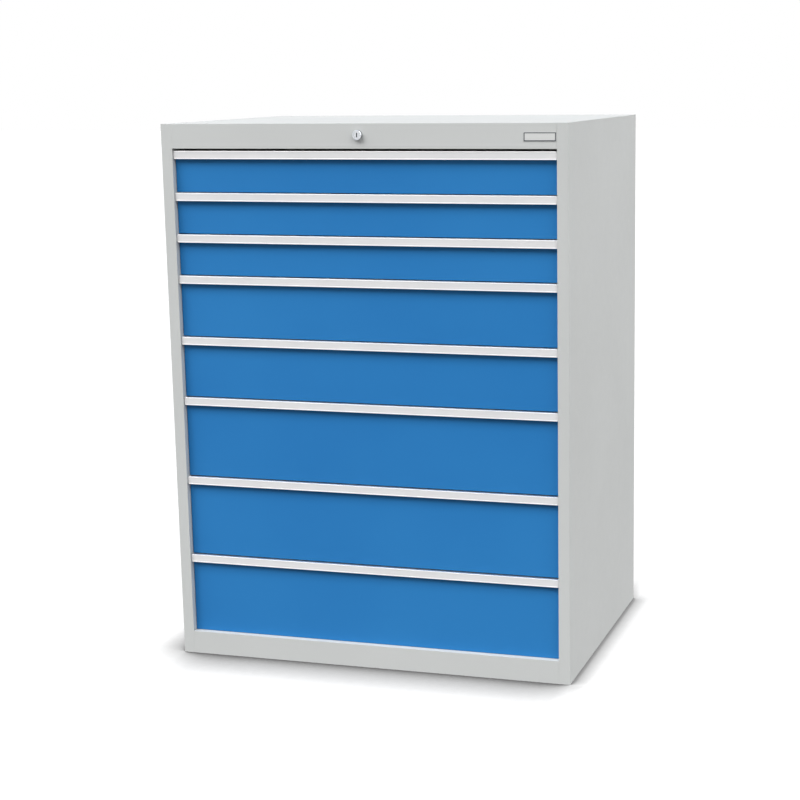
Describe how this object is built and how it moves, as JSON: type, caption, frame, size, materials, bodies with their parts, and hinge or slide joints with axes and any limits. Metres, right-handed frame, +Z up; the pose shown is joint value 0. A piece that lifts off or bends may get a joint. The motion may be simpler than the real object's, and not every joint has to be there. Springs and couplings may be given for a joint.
{
  "type": "drawer cabinet",
  "caption": "Free-standing steel laboratory cabinet with full-width drawers of different heights on telescopic slides, strip grips with label channels, and a central lock.",
  "frame": {"origin": "on the floor, under the middle of the cabinet's width and depth", "axes": "+Z up, drawers open towards -Y, +X to the right of a person facing the drawers"},
  "size_m": [1.005, 0.745, 1.32],
  "materials": {
    "carcass_paint": "light grey fine-texture powder coat, low sheen",
    "front_paint": "mid blue fine-texture powder coat, low sheen",
    "tray_paint": "light grey powder coat",
    "grip_aluminium": "pale matt extrusion",
    "label_plastic": "pale strip and caps",
    "zinc_steel": "bright zinc plating",
    "lock_chrome": "satin chrome",
    "plate_metal": "bare plate with a thin dark border"
  },
  "bodies": {
    "cabinet": {"left_side_panel": "carcass_paint", "right_side_panel": "carcass_paint", "top_panel": "carcass_paint", "base_panel": "carcass_paint", "back_panel": "carcass_paint", "rack_uprights": "zinc_steel", "cabinet_rails": "zinc_steel", "lock_cylinder": "lock_chrome", "nameplate": "plate_metal"},
    "drawer_1": {"drawer_1_tray": "tray_paint", "drawer_1_front": "front_paint", "drawer_1_grip": "grip_aluminium", "drawer_1_grip_inserts": "label_plastic", "drawer_1_rails": "zinc_steel"},
    "mid_rails_1": {"drawer_1_mid_rails": "zinc_steel"},
    "drawer_2": {"drawer_2_tray": "tray_paint", "drawer_2_front": "front_paint", "drawer_2_grip": "grip_aluminium", "drawer_2_grip_inserts": "label_plastic", "drawer_2_rails": "zinc_steel"},
    "mid_rails_2": {"drawer_2_mid_rails": "zinc_steel"},
    "drawer_3": {"drawer_3_tray": "tray_paint", "drawer_3_front": "front_paint", "drawer_3_grip": "grip_aluminium", "drawer_3_grip_inserts": "label_plastic", "drawer_3_rails": "zinc_steel"},
    "mid_rails_3": {"drawer_3_mid_rails": "zinc_steel"},
    "drawer_4": {"drawer_4_tray": "tray_paint", "drawer_4_front": "front_paint", "drawer_4_grip": "grip_aluminium", "drawer_4_grip_inserts": "label_plastic", "drawer_4_rails": "zinc_steel"},
    "mid_rails_4": {"drawer_4_mid_rails": "zinc_steel"},
    "drawer_5": {"drawer_5_tray": "tray_paint", "drawer_5_front": "front_paint", "drawer_5_grip": "grip_aluminium", "drawer_5_grip_inserts": "label_plastic", "drawer_5_rails": "zinc_steel"},
    "mid_rails_5": {"drawer_5_mid_rails": "zinc_steel"},
    "drawer_6": {"drawer_6_tray": "tray_paint", "drawer_6_front": "front_paint", "drawer_6_grip": "grip_aluminium", "drawer_6_grip_inserts": "label_plastic", "drawer_6_rails": "zinc_steel"},
    "mid_rails_6": {"drawer_6_mid_rails": "zinc_steel"},
    "drawer_7": {"drawer_7_tray": "tray_paint", "drawer_7_front": "front_paint", "drawer_7_grip": "grip_aluminium", "drawer_7_grip_inserts": "label_plastic", "drawer_7_rails": "zinc_steel"},
    "mid_rails_7": {"drawer_7_mid_rails": "zinc_steel"},
    "drawer_8": {"drawer_8_tray": "tray_paint", "drawer_8_front": "front_paint", "drawer_8_grip": "grip_aluminium", "drawer_8_grip_inserts": "label_plastic", "drawer_8_rails": "zinc_steel"},
    "mid_rails_8": {"drawer_8_mid_rails": "zinc_steel"},
    "lock_rotor": {"lock_rotor": "lock_chrome"},
    "lock_bar": {"lock_arm": "zinc_steel", "lock_bar": "zinc_steel"}
  },
  "joints": [
    {"name": "drawer_1_slide", "type": "slide", "parent": "cabinet", "child": "drawer_1", "axis": [0, -1, 0], "range_m": [0, 0.6]},
    {"name": "drawer_2_slide", "type": "slide", "parent": "cabinet", "child": "drawer_2", "axis": [0, -1, 0], "range_m": [0, 0.6]},
    {"name": "drawer_3_slide", "type": "slide", "parent": "cabinet", "child": "drawer_3", "axis": [0, -1, 0], "range_m": [0, 0.6]},
    {"name": "drawer_4_slide", "type": "slide", "parent": "cabinet", "child": "drawer_4", "axis": [0, -1, 0], "range_m": [0, 0.6]},
    {"name": "drawer_5_slide", "type": "slide", "parent": "cabinet", "child": "drawer_5", "axis": [0, -1, 0], "range_m": [0, 0.6]},
    {"name": "drawer_6_slide", "type": "slide", "parent": "cabinet", "child": "drawer_6", "axis": [0, -1, 0], "range_m": [0, 0.6]},
    {"name": "drawer_7_slide", "type": "slide", "parent": "cabinet", "child": "drawer_7", "axis": [0, -1, 0], "range_m": [0, 0.6]},
    {"name": "drawer_8_slide", "type": "slide", "parent": "cabinet", "child": "drawer_8", "axis": [0, -1, 0], "range_m": [0, 0.6]},
    {"name": "mid_rails_1_slide", "type": "slide", "parent": "cabinet", "child": "mid_rails_1", "axis": [0, -1, 0], "range_m": [0, 0.3]},
    {"name": "mid_rails_2_slide", "type": "slide", "parent": "cabinet", "child": "mid_rails_2", "axis": [0, -1, 0], "range_m": [0, 0.3]},
    {"name": "mid_rails_3_slide", "type": "slide", "parent": "cabinet", "child": "mid_rails_3", "axis": [0, -1, 0], "range_m": [0, 0.3]},
    {"name": "mid_rails_4_slide", "type": "slide", "parent": "cabinet", "child": "mid_rails_4", "axis": [0, -1, 0], "range_m": [0, 0.3]},
    {"name": "mid_rails_5_slide", "type": "slide", "parent": "cabinet", "child": "mid_rails_5", "axis": [0, -1, 0], "range_m": [0, 0.3]},
    {"name": "mid_rails_6_slide", "type": "slide", "parent": "cabinet", "child": "mid_rails_6", "axis": [0, -1, 0], "range_m": [0, 0.3]},
    {"name": "mid_rails_7_slide", "type": "slide", "parent": "cabinet", "child": "mid_rails_7", "axis": [0, -1, 0], "range_m": [0, 0.3]},
    {"name": "mid_rails_8_slide", "type": "slide", "parent": "cabinet", "child": "mid_rails_8", "axis": [0, -1, 0], "range_m": [0, 0.3]},
    {"name": "lock_turn", "type": "hinge", "parent": "cabinet", "child": "lock_rotor", "pos_m": [0, -0.368, 1.2935], "axis": [0, 1, 0], "range_deg": [0, 90]},
    {"name": "lock_bar_slide", "type": "slide", "parent": "cabinet", "child": "lock_bar", "axis": [-1, 0, 0], "range_m": [0, 0.012]}
  ],
  "couplings": [
    {"joint": "mid_rails_1_slide", "follows": "drawer_1_slide", "ratio": 0.5},
    {"joint": "mid_rails_2_slide", "follows": "drawer_2_slide", "ratio": 0.5},
    {"joint": "mid_rails_3_slide", "follows": "drawer_3_slide", "ratio": 0.5},
    {"joint": "mid_rails_4_slide", "follows": "drawer_4_slide", "ratio": 0.5},
    {"joint": "mid_rails_5_slide", "follows": "drawer_5_slide", "ratio": 0.5},
    {"joint": "mid_rails_6_slide", "follows": "drawer_6_slide", "ratio": 0.5},
    {"joint": "mid_rails_7_slide", "follows": "drawer_7_slide", "ratio": 0.5},
    {"joint": "mid_rails_8_slide", "follows": "drawer_8_slide", "ratio": 0.5},
    {"joint": "lock_turn", "follows": "lock_bar_slide", "rad_per_m": 130.9}
  ]
}
